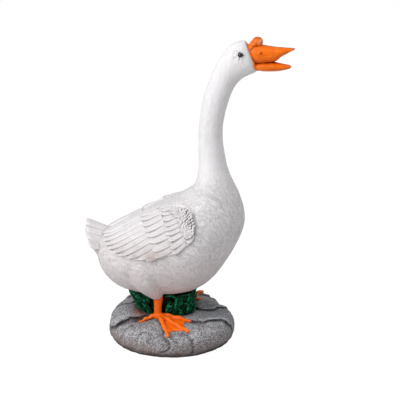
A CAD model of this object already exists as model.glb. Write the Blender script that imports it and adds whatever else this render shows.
"""Looks of the garden statue of a calling white goose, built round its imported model.

Metres, +Z up. The goose faces +X, and the origin is the centre of the base's underside.
"""

import logging
import math
import random
from collections.abc import Callable, Iterator, Sequence
from contextlib import contextmanager
from dataclasses import dataclass, field
from enum import Enum
from typing import Any

import bpy
import numpy as np
from mathutils import Matrix, Vector, noise
from mathutils.bvhtree import BVHTree


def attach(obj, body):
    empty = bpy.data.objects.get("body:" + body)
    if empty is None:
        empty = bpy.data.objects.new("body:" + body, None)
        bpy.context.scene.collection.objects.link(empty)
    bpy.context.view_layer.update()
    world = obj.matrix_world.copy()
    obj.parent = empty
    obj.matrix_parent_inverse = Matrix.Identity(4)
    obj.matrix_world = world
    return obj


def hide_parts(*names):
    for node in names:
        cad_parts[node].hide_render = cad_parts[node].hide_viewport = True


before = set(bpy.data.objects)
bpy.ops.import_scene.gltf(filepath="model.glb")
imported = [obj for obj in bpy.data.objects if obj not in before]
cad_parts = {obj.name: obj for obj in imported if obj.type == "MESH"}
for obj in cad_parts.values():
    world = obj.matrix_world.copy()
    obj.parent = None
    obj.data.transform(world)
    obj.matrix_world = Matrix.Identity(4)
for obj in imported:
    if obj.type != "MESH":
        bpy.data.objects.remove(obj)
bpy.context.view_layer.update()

MM = 0.001
# As the size of a table of percentages, it makes the table count millimetres.
MILLIMETRES = 100 * MM
# The share of a turn by which things laid in turn never line up.
GOLDEN = 0.618034
# The least squared length of a line's segment, and the softness of a step across it, in square metres.
SHORTEST = 1e-12
SOFT_STEP = 4e-6
NODE = "goose_statue"
SEED = 11
# How far each leg stands behind the base's middle, the right one first.
LEG_SETBACKS = (18 * MM, 11 * MM)

Colour = tuple[float, float, float, float]
Rows = Sequence[tuple[float, ...]]
Socket = bpy.types.NodeSocket
Thing = bpy.types.Object

log = logging.getLogger("goose")


class Paint(Enum):
    """The record's material slots."""

    WHITE = "white_paint"
    ORANGE = "orange_paint"
    GREEN = "green_paint"
    STONE = "stone_grey_paint"
    BLACK = "black_gloss_paint"


class Side(Enum):
    """The goose's right side, towards -Y, and its left."""

    RIGHT = -1
    LEFT = 1

    @property
    def label(self) -> str:
        """The side's name in a piece name."""
        return self.name.lower()


@dataclass(frozen=True)
class Section:
    """One cross section of a loft: its top and bottom points in the side view, and its half width."""

    top: Vector
    bottom: Vector
    half_width: float

    @property
    def centre(self) -> Vector:
        """The middle of the section."""
        return (self.top + self.bottom) / 2

    @property
    def half_height(self) -> float:
        """Half the distance from the bottom to the top."""
        return (self.top - self.bottom).length / 2

    @property
    def turn(self) -> float:
        """The right-hand turn about Y that takes X to the direction of the top."""
        rise = self.top - self.bottom
        return math.atan2(-rise.z, rise.x)

    def at(self, angle: float) -> Vector:
        """The point at an angle round the section, from 0 at the top towards +Y."""
        up = (self.top - self.bottom) / 2
        return self.centre + up * math.cos(angle) + Vector((0, self.half_width * math.sin(angle), 0))


def curve_through(a: Any, b: Any, c: Any, d: Any, t: float) -> Any:
    """The Catmull-Rom curve between b and c.

    Args:
        a, b, c, d: Four values in a row, numbers or vectors.
        t: Share of the way from b to c.

    Returns:
        The value on the curve.
    """
    bend, twist = 2 * a - 5 * b + 4 * c - d, 3 * b - a - 3 * c + d
    return 0.5 * (2 * b + (c - a) * t + bend * t**2 + twist * t**3)


def along(points: Sequence[Any], t: float) -> Any:
    """The value at a share of the way through a list, on a smooth curve.

    Args:
        points: Numbers or vectors.
        t: Share of the way, from 0 to 1.

    Returns:
        The value there.
    """
    last = len(points) - 1
    i = min(int(t * last), last - 1)
    near = [points[max(0, min(last, i + k))] for k in (-1, 0, 1, 2)]
    return curve_through(*near, t * last - i)


def millimetres(x: float, y: float, z: float) -> Any:
    """A dataclass field that holds three sizes given in millimetres."""
    return field(default_factory=lambda: Vector((x, y, z)) * MM)


def past(value: float, start: float) -> float:
    """How far a value lies past a start, 0 up to it and 1 at 1."""
    return max(0, (value - start) / (1 - start))


def share_of(share: Sequence[float], *size: float) -> Vector:
    """A vector of shares times a vector of sizes."""
    return Vector(a * b for a, b in zip(share, size))


def sections(rows: Rows, size: Vector, origin: Vector) -> list[Section]:
    """Reads a table of sections.

    Args:
        rows: Top x, top z, bottom x, bottom z and width, as percentages of the size.
        size: The loft's length, width and height.
        origin: The point that the table counts from.

    Returns:
        The sections, in order.
    """
    made = []
    for top_x, top_z, bottom_x, bottom_z, width in rows:
        top = origin + Vector((top_x * size.x, 0, top_z * size.z)) / 100
        bottom = origin + Vector((bottom_x * size.x, 0, bottom_z * size.z)) / 100
        made.append(Section(top, bottom, width * size.y / 200))
    return made


def smooth_sections(rows: Sequence[Section], steps: int = 5) -> list[Section]:
    """The same loft with more sections.

    Args:
        rows: The given sections.
        steps: Sections for each gap between two of them.

    Returns:
        The sections on a smooth curve through the given ones.
    """
    tops, bottoms, widths = ([getattr(s, key) for s in rows] for key in ("top", "bottom", "half_width"))
    count = (len(rows) - 1) * steps
    return [Section(along(tops, i / count), along(bottoms, i / count), along(widths, i / count))
            for i in range(count + 1)]


def turned_to(direction: Vector, up: Vector) -> Matrix:
    """The turn that takes X to a direction and keeps Z as near up as it can."""
    x = direction.normalized()
    y = up.cross(x).normalized()
    return Matrix((x, y, x.cross(y))).transposed()


def activate(*things: Thing) -> None:
    """Selects only these objects, the first of them active.

    Args:
        *things: The objects, the active one first.
    """
    if bpy.context.object and bpy.context.object.mode != "OBJECT":
        bpy.ops.object.mode_set(mode="OBJECT")
    bpy.ops.object.select_all(action="DESELECT")
    for thing in things:
        thing.select_set(True)
    if things:
        bpy.context.view_layer.objects.active = things[0]


def face_out() -> None:
    """In edit mode, turns every face outward."""
    bpy.ops.mesh.select_all(action="SELECT")
    bpy.ops.mesh.normals_make_consistent(inside=False)


@contextmanager
def editing(thing: Thing) -> Iterator[None]:
    """Edit mode on one object, with all of it selected.

    Args:
        thing: The object.
    """
    activate(thing)
    bpy.ops.object.mode_set(mode="EDIT")
    bpy.ops.mesh.select_all(action="SELECT")
    yield
    bpy.ops.object.mode_set(mode="OBJECT")


def settled(name: str) -> Thing:
    """Names the primitive that was just added and applies its place, turn and size to its mesh.

    Args:
        name: The object's name.

    Returns:
        The object, at the origin.
    """
    thing = bpy.context.object
    thing.name = thing.data.name = name
    activate(thing)
    bpy.ops.object.transform_apply(location=True, rotation=True, scale=True)
    return thing


def modify(thing: Thing, kind: str, **settings: Any) -> None:
    """Adds a modifier and applies it.

    Args:
        thing: The object.
        kind: The modifier's type.
        settings: Its properties.
    """
    activate(thing)
    modifier = thing.modifiers.new(kind.lower(), kind)
    for key, value in settings.items():
        setattr(modifier, key, value)
    bpy.ops.object.modifier_apply(modifier=modifier.name)


def copy_of(master: Thing, name: str) -> Thing:
    """A copy of an object with its own mesh."""
    made = bpy.data.objects.new(name, master.data.copy())
    bpy.context.scene.collection.objects.link(made)
    return made


def remove(*things: Thing) -> None:
    """Removes masters and cutters that are done with."""
    for thing in things:
        bpy.data.objects.remove(thing)


def reshape(thing: Thing, form: Callable[[Vector], Vector]) -> None:
    """Moves each vertex to where a function puts it."""
    for vert in thing.data.vertices:
        vert.co = form(vert.co.copy())
    thing.data.update()


def join(name: str, things: Sequence[Thing]) -> Thing:
    """Joins objects into one whose faces all point out.

    Args:
        name: The new object's name.
        things: The objects.

    Returns:
        The new object.
    """
    activate(*things)
    bpy.ops.object.join()
    made = bpy.context.object
    made.name = made.data.name = name
    with editing(made):
        face_out()
    return made


def blended(name: str, things: Sequence[Thing], voxel: float, smoothing: int) -> Thing:
    """Melts overlapping closed forms into one smooth skin.

    Args:
        name: The new object's name.
        things: The forms.
        voxel: Cell size of the remesh.
        smoothing: Passes of the smooth modifier.

    Returns:
        The skin.
    """
    made = join(name, things)
    modify(made, "REMESH", mode="VOXEL", voxel_size=voxel, use_smooth_shade=True)
    if smoothing:
        modify(made, "SMOOTH", factor=0.5, iterations=smoothing)
    return made


def loft(name: str, rows: Sequence[Section], sides: int = 48) -> Thing:
    """A closed loft: a disc at the first section, extruded, turned and resized from one to the next.

    Args:
        name: The object's name.
        rows: Its sections.
        sides: Vertices round each section.

    Returns:
        The loft.
    """
    last = rows[0]
    activate()
    bpy.ops.mesh.primitive_circle_add(vertices=sides, radius=1, fill_type="NGON", location=last.centre,
                                      rotation=(0, last.turn, 0))
    bpy.context.object.scale = (last.half_height, last.half_width, 1)
    made = settled(name)
    with editing(made):
        for row in rows[1:]:
            place, taller = tuple(row.centre), row.half_height / last.half_height
            bpy.ops.mesh.extrude_region_move(TRANSFORM_OT_translate={"value": row.centre - last.centre})
            bpy.ops.transform.rotate(value=last.turn - row.turn, orient_axis="Y", center_override=place)
            wider = row.half_width / last.half_width
            bpy.ops.transform.resize(value=(taller, wider, taller), center_override=place)
            last = row
        face_out()
    return made


def rounded(name: str, centre: Vector, size: Vector, turn: Matrix | None = None, segments: int = 28) -> Thing:
    """A sphere primitive of three sizes, to be pressed, cut or melted into another form.

    Args:
        name: The object's name.
        centre: Its middle.
        size: Its three diameters.
        turn: Its turn, if any.
        segments: Vertices round it.

    Returns:
        The form.
    """
    activate()
    bpy.ops.mesh.primitive_uv_sphere_add(segments=segments, ring_count=segments // 2, radius=0.5)
    made = bpy.context.object
    place = Matrix.Translation(centre) @ (turn or Matrix.Identity(3)).to_4x4()
    made.matrix_world = place @ Matrix.Diagonal((*size, 1))
    return settled(name)


def tube(name: str, points: Sequence[Vector], radii: Sequence[float], resolution: int = 4) -> Thing:
    """A round bar along a line with a radius at each point.

    Args:
        name: The object's name.
        points: The line.
        radii: The bar's radius at each point.
        resolution: Bevel resolution, more for a rounder bar.

    Returns:
        The bar, closed at both ends.
    """
    curve = bpy.data.curves.new(name, "CURVE")
    curve.dimensions, curve.bevel_depth, curve.bevel_resolution = "3D", 1.0, resolution
    curve.use_fill_caps = True
    spline = curve.splines.new("POLY")
    spline.points.add(len(points) - 1)
    for point, place, radius in zip(spline.points, points, radii):
        point.co, point.radius = (*place, 1), radius
    made = bpy.data.objects.new(name, curve)
    bpy.context.scene.collection.objects.link(made)
    activate(made)
    bpy.ops.object.convert(target="MESH")
    made = bpy.context.object
    with editing(made):
        bpy.ops.mesh.remove_doubles(threshold=0.01 * MM)
        face_out()
    return made


def slab(name: str, rows: int, columns: int) -> Thing:
    """A unit slab to be laid on a surface: X and Y from 0 to 1, its skin at Z 1 and its base at Z 0.

    Args:
        name: The object's name.
        rows: Vertices along X.
        columns: Vertices along Y.

    Returns:
        The slab, with its X and Y as its UV map.
    """
    activate()
    bpy.ops.mesh.primitive_grid_add(x_subdivisions=rows, y_subdivisions=columns, size=1,
                                    location=(0.5, 0.5, 0))
    made = settled(name)
    with editing(made):
        bpy.ops.mesh.extrude_region_move(TRANSFORM_OT_translate={"value": (0, 0, 1)})
        face_out()
    return made


def subtract(thing: Thing, *cutters: Thing) -> None:
    """Cuts the cutters out of an object and removes them."""
    for cutter in cutters:
        modify(thing, "BOOLEAN", operation="DIFFERENCE", object=cutter)
    remove(*cutters)


def surface_of(*things: Thing) -> BVHTree:
    """A search tree of the objects' faces, for resting one form on another.

    Args:
        *things: The objects.

    Returns:
        The tree.
    """
    points, faces = [], []
    for thing in things:
        start = len(points)
        points += [vert.co.copy() for vert in thing.data.vertices]
        faces += [[start + i for i in face.vertices] for face in thing.data.polygons]
    return BVHTree.FromPolygons(points, faces)


def height_on(tree: BVHTree, place: Vector) -> float:
    """The height of the surface at a place in plan, or the ground beside it."""
    hit = tree.ray_cast(Vector((place.x, place.y, 1.0)), Vector((0, 0, -1)))[0]
    return hit.z if hit else 0.0


def vertex_data(thing: Thing, key: str = "co") -> np.ndarray:
    """An object's vertex places or normals as rows of three numbers."""
    found = np.empty(len(thing.data.vertices) * 3)
    thing.data.vertices.foreach_get(key, found)
    return found.reshape(-1, 3)


def off_segment(places: np.ndarray, first: Vector, second: Vector) -> tuple[np.ndarray, np.ndarray]:
    """How each place lies off a straight segment.

    Args:
        places: Rows of three numbers.
        first: The segment's start.
        second: Its end.

    Returns:
        The step from start to end, and the step to each place from the segment's nearest point.
    """
    start, step = np.array(first), np.array(second - first)
    share = np.clip((places - start) @ step / max(step @ step, SHORTEST), 0, 1)
    return step, places - start - share[:, None] * step


def distance_to(places: np.ndarray, line: Sequence[Vector]) -> np.ndarray:
    """How far each place is from a line through points.

    Args:
        places: Rows of three numbers.
        line: The points.

    Returns:
        One distance for each row.
    """
    nearest = np.full(len(places), np.inf)
    for first, second in zip(line, line[1:]):
        nearest = np.minimum(nearest, np.linalg.norm(off_segment(places, first, second)[1], axis=1))
    return nearest


def falloff(distance: np.ndarray, reach: float) -> np.ndarray:
    """1 at no distance, and smoothly 0 from the reach on."""
    t = np.clip(1 - distance / reach, 0, 1)
    return t * t * (3 - 2 * t)


def raise_skin(thing: Thing, height: np.ndarray) -> None:
    """Moves each vertex along its normal by its own height."""
    raised = vertex_data(thing) + height[:, None] * vertex_data(thing, "normal")
    thing.data.vertices.foreach_set("co", raised.ravel())
    thing.data.update()


def carve(thing: Thing, line: Sequence[Vector], width: float, depth: float) -> None:
    """Sinks a groove into a skin along a line."""
    raise_skin(thing, -depth * falloff(distance_to(vertex_data(thing), line), width))


def step_along(thing: Thing, line: Sequence[Vector], reach: float, height: float) -> None:
    """Lifts a skin on the left of a line and lowers it on the right, as one slab lies over the next.

    Args:
        thing: The skin.
        line: The points of the line, in plan from its first to its last.
        reach: How far from the line the skin moves.
        height: How far it is lifted at the line.
    """
    places = vertex_data(thing)
    nearest, turn = np.full(len(places), np.inf), np.zeros(len(places))
    for first, second in zip(line, line[1:]):
        step, off = off_segment(places, first, second)
        gap = np.linalg.norm(off, axis=1)
        closer = gap < nearest
        nearest = np.where(closer, gap, nearest)
        turn = np.where(closer, step[0] * off[:, 1] - step[1] * off[:, 0], turn)
    raise_skin(thing, np.tanh(turn / SOFT_STEP) * falloff(nearest, reach) * height)


def on_side(base: Vector, side: Side, points: Rows) -> list[Vector]:
    """Points given in millimetres from a base for the goose's left side, on either side."""
    return [base + Vector((x, side.value * y, z)) * MM for x, y, z in points]


def mark(thing: Thing, name: str, values: Sequence[float]) -> None:
    """Stores a number on each vertex, which a finish reads."""
    layer = thing.data.attributes.get(name) or thing.data.attributes.new(name, "FLOAT", "POINT")
    layer.data.foreach_set("value", np.asarray(values, np.float32))


def roughen(thing: Thing, grain: float, height: float, name: str = "roughening") -> None:
    """Displaces a skin with clouds of a given grain, in place."""
    clouds = bpy.data.textures.new(name, "CLOUDS")
    clouds.noise_scale, clouds.noise_depth = grain, 2
    modify(thing, "DISPLACE", texture=clouds, strength=height, mid_level=0.5, texture_coords="LOCAL")


def dress(thing: Thing, name: str, finish: bpy.types.Material, angle: float = 60) -> Thing:
    """Makes a finished piece of an object.

    Args:
        thing: The object, its place in its mesh.
        name: The piece's name.
        finish: Its material.
        angle: Edges sharper than this many degrees stay sharp.

    Returns:
        The piece.
    """
    thing.name = thing.data.name = name
    thing.data.materials.clear()
    thing.data.materials.append(finish)
    activate(thing)
    bpy.ops.object.shade_smooth_by_angle(angle=math.radians(angle))
    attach(thing, "root")
    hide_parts(NODE)
    low, high = (Vector(map(pick, zip(*(v.co for v in thing.data.vertices)))) for pick in (min, max))
    size = (high - low) / MM
    log.info("%s: %d faces, %.0f x %.0f x %.0f mm", name, len(thing.data.polygons), *size)
    return thing


class Graph:
    """Adds and links the nodes of one tree."""

    def __init__(self, tree: bpy.types.NodeTree) -> None:
        """Takes the tree to work in."""
        self.tree = tree

    def add(self, kind: str, inputs: dict[Any, Any] | None = None, **settings: Any) -> bpy.types.Node:
        """Adds a node.

        Args:
            kind: Its type without the ShaderNode in front.
            inputs: A socket to link or a value to set for each input, by name or number.
            settings: The node's own properties.

        Returns:
            The node.
        """
        node = self.tree.nodes.new("ShaderNode" + kind)
        for key, value in settings.items():
            setattr(node, key, value)
        for key, value in (inputs or {}).items():
            if isinstance(value, Socket):
                self.tree.links.new(value, node.inputs[key])
            else:
                node.inputs[key].default_value = value
        return node

    def math(self, operation: str, *values: Any) -> Socket:
        """The result of a math node."""
        return self.add("Math", dict(enumerate(values)), operation=operation).outputs[0]

    def mix(self, factor: Any, first: Any, second: Any, mode: str = "MIX") -> Socket:
        """Two colours mixed."""
        return self.add("Mix", {0: factor, 6: first, 7: second}, data_type="RGBA", blend_type=mode).outputs[2]

    def fade(self, value: Any, low: float, high: float, start: float = 0, end: float = 1) -> Socket:
        """A value taken smoothly from start at low to end at high."""
        inputs = {"Value": value, "From Min": low, "From Max": high, "To Min": start, "To Max": end}
        return self.add("MapRange", inputs, interpolation_type="SMOOTHSTEP").outputs["Result"]

    def noise(self, vector: Any, scale: Any, detail: float = 2, **inputs: Any) -> Socket:
        """A noise texture's value."""
        every = {"Vector": vector, "Scale": scale, "Detail": detail, **inputs}
        return self.add("TexNoise", every).outputs[0]

    def stretched(self, vector: Any, scale: tuple[float, ...], turn: tuple[float, ...] = (0, 0, 0)) -> Socket:
        """Coordinates turned, in degrees, and then scaled along each axis."""
        turned = self.add("Mapping", {"Vector": vector, "Rotation": [math.radians(a) for a in turn]})
        return self.add("VectorMath", {0: turned.outputs[0], 1: scale}, operation="MULTIPLY").outputs[0]


def effect(name: str, inputs: dict[str, str], outputs: dict[str, str]) -> tuple[Graph, Any, Any]:
    """Starts a node group.

    Args:
        name: The group's name.
        inputs: Its inputs' names and kinds.
        outputs: Its outputs' names and kinds.

    Returns:
        The graph, the group input's sockets and the group output node.
    """
    tree = bpy.data.node_groups.new(name, "ShaderNodeTree")
    for sockets, way in ((inputs, "INPUT"), (outputs, "OUTPUT")):
        for key, kind in sockets.items():
            tree.interface.new_socket(name=key, in_out=way, socket_type="NodeSocket" + kind)
    given = tree.nodes.new("NodeGroupInput").outputs
    return Graph(tree), given, tree.nodes.new("NodeGroupOutput")


class Effects:
    """The effects that several finishes share, each built once as a node group."""

    def __init__(self) -> None:
        """Builds the groups."""
        self.strokes = self.build_strokes()
        self.wash = self.build_wash()
        self.grain = self.build_grain()
        self.highlight = self.build_highlight()

    @staticmethod
    def build_strokes() -> bpy.types.NodeTree:
        """Fine brush strokes along X of the given coordinates, which count one to a stroke's width.

        Returns:
            The node group.
        """
        graph, given, out = effect("brush_strokes", {"Vector": "Vector", "Contrast": "Float"},
                                   {"Height": "Float"})
        sway = graph.noise(given["Vector"], 0.12, 1)
        shift = graph.add("VectorMath", {0: given["Vector"], 1: (0, 1, 1)}, operation="MULTIPLY").outputs[0]
        moved = graph.add("VectorMath", {0: shift, 1: sway, 2: given["Vector"]}, operation="MULTIPLY_ADD")
        lines = graph.noise(moved.outputs[0], 0.5, 3, Roughness=0.6)
        spread = graph.math("MULTIPLY", graph.math("SUBTRACT", lines, 0.5), given["Contrast"])
        height = graph.math("ADD", spread, 0.5)
        graph.tree.links.new(graph.fade(height, 0, 1), out.inputs["Height"])
        return graph.tree

    @staticmethod
    def build_wash() -> bpy.types.NodeTree:
        """A thin dark wash that has run into the recesses.

        Returns:
            The node group.
        """
        graph, given, out = effect(
            "recess_wash",
            {"Color": "Color", "Wash": "Color", "Openness": "Float", "Amount": "Float", "Break Up": "Float"},
            {"Color": "Color"},
        )
        shut = graph.math("SUBTRACT", 1.0, given["Openness"])
        broken = graph.math("MULTIPLY", shut, graph.fade(given["Break Up"], 0.25, 0.7, 0.55, 1.15))
        mask = graph.math("MINIMUM", graph.math("MULTIPLY", broken, given["Amount"]), 1.0)
        graph.tree.links.new(graph.mix(mask, given["Color"], given["Wash"]), out.inputs["Color"])
        return graph.tree

    @staticmethod
    def build_grain() -> bpy.types.NodeTree:
        """Grains and pits of cast stone, and the broad patches between them.

        Returns:
            The node group.
        """
        graph, given, out = effect("cast_grain", {"Vector": "Vector", "Scale": "Float"},
                                   {"Height": "Float", "Speckle": "Float", "Patches": "Float"})
        fine = graph.noise(given["Vector"], given["Scale"], 4, Roughness=0.75)
        coarse = graph.noise(given["Vector"], graph.math("MULTIPLY", given["Scale"], 0.28), 3)
        cells = graph.add("TexVoronoi", {"Vector": given["Vector"],
                                         "Scale": graph.math("MULTIPLY", given["Scale"], 0.8)})
        pits = graph.fade(cells.outputs["Distance"], 0.1, 0.5)
        both = graph.math("MULTIPLY_ADD", coarse, 0.7, graph.math("MULTIPLY", fine, 0.6))
        graph.tree.links.new(graph.math("MULTIPLY_ADD", pits, 0.25, both), out.inputs["Height"])
        graph.tree.links.new(graph.fade(fine, 0.34, 0.66), out.inputs["Speckle"])
        broad = graph.noise(given["Vector"], graph.math("MULTIPLY", given["Scale"], 0.07), 3)
        graph.tree.links.new(graph.fade(broad, 0.35, 0.65), out.inputs["Patches"])
        return graph.tree

    @staticmethod
    def build_highlight() -> bpy.types.NodeTree:
        """Paint rubbed lighter on raised edges.

        Returns:
            The node group.
        """
        graph, given, out = effect(
            "dry_brushed_edges",
            {"Color": "Color", "Edge": "Color", "Pointiness": "Float", "Amount": "Float"},
            {"Color": "Color"},
        )
        raised = graph.fade(given["Pointiness"], 0.5, 0.58)
        mask = graph.math("MULTIPLY", raised, given["Amount"])
        graph.tree.links.new(graph.mix(mask, given["Color"], given["Edge"]), out.inputs["Color"])
        return graph.tree


def darkened(colour: Colour, share: float) -> Colour:
    """A colour at a share of its brightness."""
    return (*(share * c for c in colour[:3]), 1)


@dataclass
class Coat:
    """A material being mixed: its graph, its shader and the inputs that the finishes share."""

    name: str
    effects: Effects
    material: bpy.types.Material = field(init=False)
    graph: Graph = field(init=False)
    shader: bpy.types.Node = field(init=False)
    place: Socket = field(init=False)

    def __post_init__(self) -> None:
        """Starts the material."""
        self.material = bpy.data.materials.new(self.name)
        self.material.use_nodes = True
        self.graph = Graph(self.material.node_tree)
        self.shader = self.material.node_tree.nodes["Principled BSDF"]
        self.place = self.graph.add("TexCoord").outputs["Object"]

    def settings(self, **values: Any) -> None:
        """Sets the shader's plain values, a space in a socket's name written as an underscore."""
        for key, value in values.items():
            self.shader.inputs[key.replace("_", " ")].default_value = value

    def group(self, tree: bpy.types.NodeTree, inputs: dict[str, Any]) -> Any:
        """Places an effect and gives its output sockets."""
        return self.graph.add("Group", inputs, node_tree=tree).outputs

    def washed(self, colour: Socket, wash: Colour, reach: float, amount: Any, broken: Socket) -> Socket:
        """A colour with a dark wash in the recesses.

        Args:
            colour: The colour.
            wash: The wash's colour.
            reach: How near the next surface has to be for a place to count as a recess.
            amount: How much wash there is.
            broken: The pattern that breaks it up.

        Returns:
            The washed colour.
        """
        openness = self.graph.add("AmbientOcclusion", {"Distance": reach}, samples=8).outputs["AO"]
        return self.group(self.effects.wash, {"Color": colour, "Wash": wash, "Openness": openness,
                                              "Amount": amount, "Break Up": broken})["Color"]

    def rubbed(self, colour: Socket, edge: Colour, amount: float) -> Socket:
        """A colour rubbed lighter on raised edges."""
        pointiness = self.graph.add("NewGeometry").outputs["Pointiness"]
        return self.group(self.effects.highlight, {"Color": colour, "Edge": edge, "Pointiness": pointiness,
                                                   "Amount": amount})["Color"]

    def height(self) -> Socket:
        """Height above the ground."""
        return self.graph.add("SeparateXYZ", {0: self.place}).outputs["Z"]

    def stored(self, name: str) -> Socket:
        """A number stored on the piece."""
        return self.graph.add("Attribute", attribute_name=name).outputs["Fac"]

    def finish(self, colour: Socket, relief: Socket, depth: float, strength: float) -> bpy.types.Material:
        """Links colour and relief to the shader.

        Args:
            colour: The base colour.
            relief: The height for the bump.
            depth: The height of a full step of the relief.
            strength: The bump's strength.

        Returns:
            The material.
        """
        bump = self.graph.add("Bump", {"Height": relief, "Distance": depth, "Strength": strength})
        self.graph.tree.links.new(bump.outputs[0], self.shader.inputs["Normal"])
        self.graph.tree.links.new(colour, self.shader.inputs["Base Color"])
        return self.material


@dataclass(frozen=True)
class PlumagePaint:
    """Matt white, brushed in fine strokes, with a pinkish grey wash between them."""

    white: Colour = (0.79, 0.775, 0.79, 1)
    shade: Colour = (0.46, 0.42, 0.425, 1)
    wash: Colour = (0.30, 0.245, 0.235, 1)
    lash: Colour = (0.10, 0.095, 0.105, 1)
    warm: Colour = (0.58, 0.48, 0.47, 1)
    stroke_width: float = 1.7 * MM
    stroke_stretch: float = 0.18
    stroke_contrast: float = 2.4
    # How far the strokes lean from the level, in degrees, on the body and on the neck.
    leans: tuple[float, float] = (-28, 78)
    neck_from: float = 230 * MM
    neck_to: float = 300 * MM
    warm_from: float = 70 * MM
    warm_to: float = 210 * MM
    eye: tuple[float, float, float] = (104 * MM, 20 * MM, 456 * MM)
    lash_from: float = 5 * MM
    lash_to: float = 12 * MM
    wash_reach: float = 9 * MM
    relief: float = 0.7 * MM

    def build(self, effects: Effects) -> bpy.types.Material:
        """Mixes the finish.

        Args:
            effects: The shared effects.

        Returns:
            The material.
        """
        coat = Coat("white_plumage", effects)
        graph, wide = coat.graph, 1 / self.stroke_width
        ways = [graph.stretched(coat.place, (wide * self.stroke_stretch, wide, wide), (0, lean, 0))
                for lean in self.leans]
        strokes = [coat.group(effects.strokes, {"Vector": way, "Contrast": self.stroke_contrast})["Height"]
                   for way in ways]
        on_neck = graph.fade(coat.height(), self.neck_from, self.neck_to)
        patches = graph.noise(coat.place, 30, 3)
        share = graph.math("MINIMUM", graph.math("ADD", on_neck, graph.fade(patches, 0.45, 0.6, 0, 0.5)), 1.0)
        relief = graph.add("Mix", {0: share, 2: strokes[0], 3: strokes[1]}).outputs[0]
        calm = graph.fade(on_neck, 0, 1, 1, 0.3)
        hollow = graph.math("MULTIPLY", graph.fade(relief, 0.1, 0.75, 1, 0), calm)
        tinted = graph.mix(graph.math("MULTIPLY", hollow, graph.fade(patches, 0.3, 0.7, 0.4, 0.95)),
                           self.white, self.shade)
        low = graph.fade(coat.height(), self.warm_from, self.warm_to, 0.55, 0)
        warmed = graph.mix(low, tinted, self.warm)
        lined = graph.mix(self.eye_shade(coat, relief), warmed, self.lash)
        washed = coat.washed(lined, self.wash, self.wash_reach, 0.9, relief)
        coat.settings(Roughness=0.62, Specular_IOR_Level=0.3)
        quiet = graph.add("Mix", {0: graph.fade(on_neck, 0, 1, 0, 0.6), 2: relief, 3: 0.5}).outputs[0]
        return coat.finish(washed, quiet, self.relief, 0.65)

    def eye_shade(self, coat: Coat, relief: Socket) -> Socket:
        """Where grey strokes ring the eyes, the same on both sides of the head.

        Args:
            coat: The material being mixed.
            relief: The strokes' height.

        Returns:
            The strokes' mask.
        """
        graph = coat.graph
        folded = graph.add("VectorMath", {0: coat.place}, operation="ABSOLUTE").outputs[0]
        gap = graph.add("VectorMath", {0: folded, 1: self.eye}, operation="DISTANCE").outputs["Value"]
        ring = graph.fade(gap, self.lash_from, self.lash_to, 1, 0)
        return graph.math("MULTIPLY", ring, graph.fade(relief, 0.2, 0.6, 0.55, 0.0))


@dataclass(frozen=True)
class FeatherPaint:
    """The same white on carved feathers, with barbs across each feather's UV map."""

    white: Colour = (0.76, 0.735, 0.745, 1)
    shade: Colour = (0.50, 0.455, 0.455, 1)
    wash: Colour = (0.22, 0.165, 0.16, 1)
    earth: Colour = (0.47, 0.38, 0.36, 1)
    edge: Colour = (0.84, 0.82, 0.83, 1)
    # Barbs across and along a feather, and how far they lean from straight across, in degrees.
    barbs: tuple[float, float, float] = (46, 3.2, 1)
    barb_lean: float = 16
    # The wash between the feathers, and between the chips.
    washes: tuple[float, float] = (1.5, 0.62)
    wash_reach: float = 5 * MM
    relief: float = 0.4 * MM

    def build(self, effects: Effects) -> bpy.types.Material:
        """Mixes the finish.

        Args:
            effects: The shared effects.

        Returns:
            The material.
        """
        coat = Coat("white_feathers", effects)
        graph = coat.graph
        uv = graph.add("TexCoord").outputs["UV"]
        barbs = graph.noise(graph.stretched(uv, self.barbs, (0, 0, self.barb_lean)), 1.0, 2, Roughness=0.55)
        patches = graph.noise(coat.place, 60, 3)
        relief = graph.fade(barbs, 0.3, 0.7)
        tinted = graph.mix(graph.math("MULTIPLY", graph.fade(relief, 0, 0.8, 1, 0),
                                      graph.fade(patches, 0.3, 0.7, 0.2, 0.65)), self.white, self.shade)
        low = graph.math("MULTIPLY", coat.stored("low_edge"), graph.fade(patches, 0.35, 0.65, 0.35, 1))
        earthy = graph.mix(low, tinted, self.earth)
        amount = graph.fade(coat.stored("chipped"), 0, 1, *self.washes)
        washed = coat.washed(earthy, self.wash, self.wash_reach, amount, relief)
        coat.settings(Roughness=0.6, Specular_IOR_Level=0.3)
        return coat.finish(coat.rubbed(washed, self.edge, 0.7), relief, self.relief, 0.6)


@dataclass(frozen=True)
class EnamelPaint:
    """Orange gloss with a red-brown wash in its recesses and along stored lines, and stored gleams."""

    name: str
    orange: Colour
    bright: Colour = (1.0, 0.36, 0.05, 1)
    wash: Colour = (0.30, 0.022, 0.002, 1)
    gleam: Colour = (0.80, 0.48, 0.34, 1)
    amount: float = 1.0
    reach: float = 5 * MM
    roughness: float = 0.3
    streaks: tuple[float, float, float] = (160, 500, 500)
    relief: float = 0.25 * MM

    def build(self, effects: Effects) -> bpy.types.Material:
        """Mixes the finish.

        Args:
            effects: The shared effects.

        Returns:
            The material.
        """
        coat = Coat(self.name, effects)
        graph = coat.graph
        clouds = graph.noise(coat.place, 140, 3)
        streaks = graph.noise(graph.stretched(coat.place, self.streaks), 1.0, 3)
        base = graph.mix(graph.fade(clouds, 0.35, 0.65), self.orange, darkened(self.orange, 0.86))
        streaked = graph.mix(graph.fade(streaks, 0.5, 0.75, 0, 0.3), base, self.bright)
        glint = graph.mix(coat.stored("gleam"), coat.rubbed(streaked, self.bright, 0.55), self.gleam)
        lined = graph.mix(coat.stored("line"), glint, self.wash)
        washed = coat.washed(lined, self.wash, self.reach, self.amount, clouds)
        coat.settings(Roughness=self.roughness, Specular_IOR_Level=0.25)
        return coat.finish(washed, streaks, self.relief, 0.3)


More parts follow.
